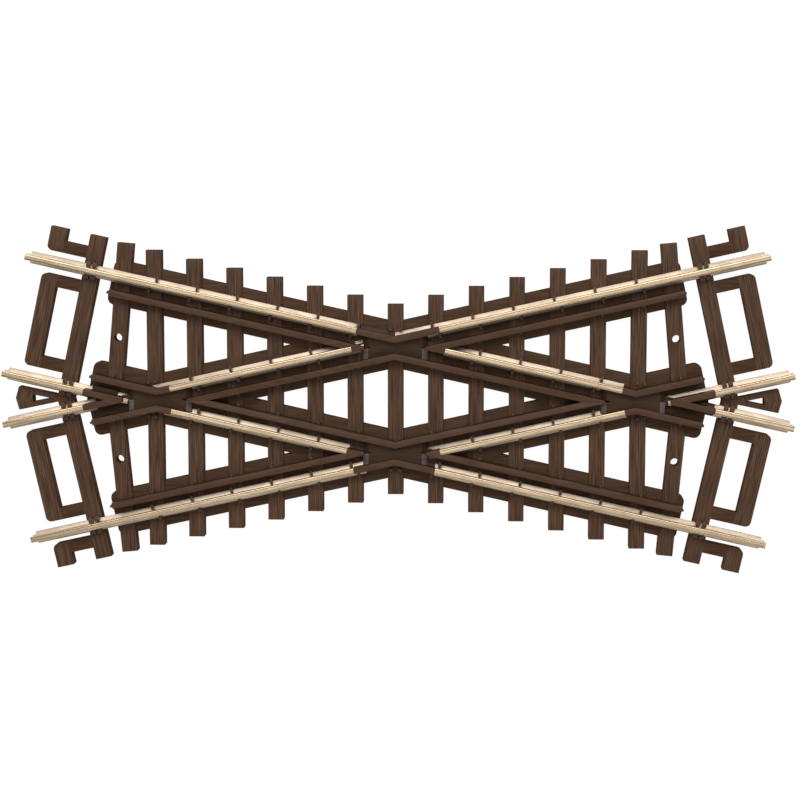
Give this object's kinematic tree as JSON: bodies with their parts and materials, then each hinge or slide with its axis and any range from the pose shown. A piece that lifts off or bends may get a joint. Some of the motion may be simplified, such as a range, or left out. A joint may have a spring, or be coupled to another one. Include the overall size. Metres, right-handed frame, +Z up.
{
  "type": "model railway diamond crossing",
  "caption": "Fixed crossing of two straight model railway tracks at a shallow angle, with moulded ties, metal rails, plastic frogs and check rails.",
  "frame": {"origin": "middle of the crossing, on the plane that the ties stand on", "axes": "+X along the crossing's long axis, halfway between the two tracks; +Y across it; +Z up, from the ties to the rails"},
  "size_m": [0.1148, 0.0504, 0.0041],
  "materials": {
    "tie_plastic": "matte, with a moulded wood grain",
    "frog_plastic": "matte",
    "rail_metal": "drawn nickel silver, brushed along its length",
    "jumper_metal": "plain rolled bronze"
  },
  "bodies": {
    "root": {"acute_frog_east": "frog_plastic", "acute_frog_west": "frog_plastic", "bent_check_rail_north": "frog_plastic", "bent_check_rail_south": "frog_plastic", "check_rail_ne": "frog_plastic", "check_rail_nw": "frog_plastic", "check_rail_se": "frog_plastic", "check_rail_sw": "frog_plastic", "closure_rail_ne": "rail_metal", "closure_rail_nw": "rail_metal", "closure_rail_se": "rail_metal", "closure_rail_sw": "rail_metal", "east_end_ties": "tie_plastic", "jumper_strap_north_a_acute": "jumper_metal", "jumper_strap_north_a_obtuse": "jumper_metal", "jumper_strap_north_b_acute": "jumper_metal", "jumper_strap_north_b_obtuse": "jumper_metal", "jumper_strap_south_a_acute": "jumper_metal", "jumper_strap_south_a_obtuse": "jumper_metal", "jumper_strap_south_b_acute": "jumper_metal", "jumper_strap_south_b_obtuse": "jumper_metal", "obtuse_frog_north": "frog_plastic", "obtuse_frog_south": "frog_plastic", "outer_rail_ne": "rail_metal", "outer_rail_nw": "rail_metal", "outer_rail_se": "rail_metal", "outer_rail_sw": "rail_metal", "point_rail_east_lower": "rail_metal", "point_rail_east_upper": "rail_metal", "point_rail_west_lower": "rail_metal", "point_rail_west_upper": "rail_metal", "strap_pins": "jumper_metal", "tie_base": "tie_plastic", "west_end_ties": "tie_plastic"}
  },
  "joints": []
}
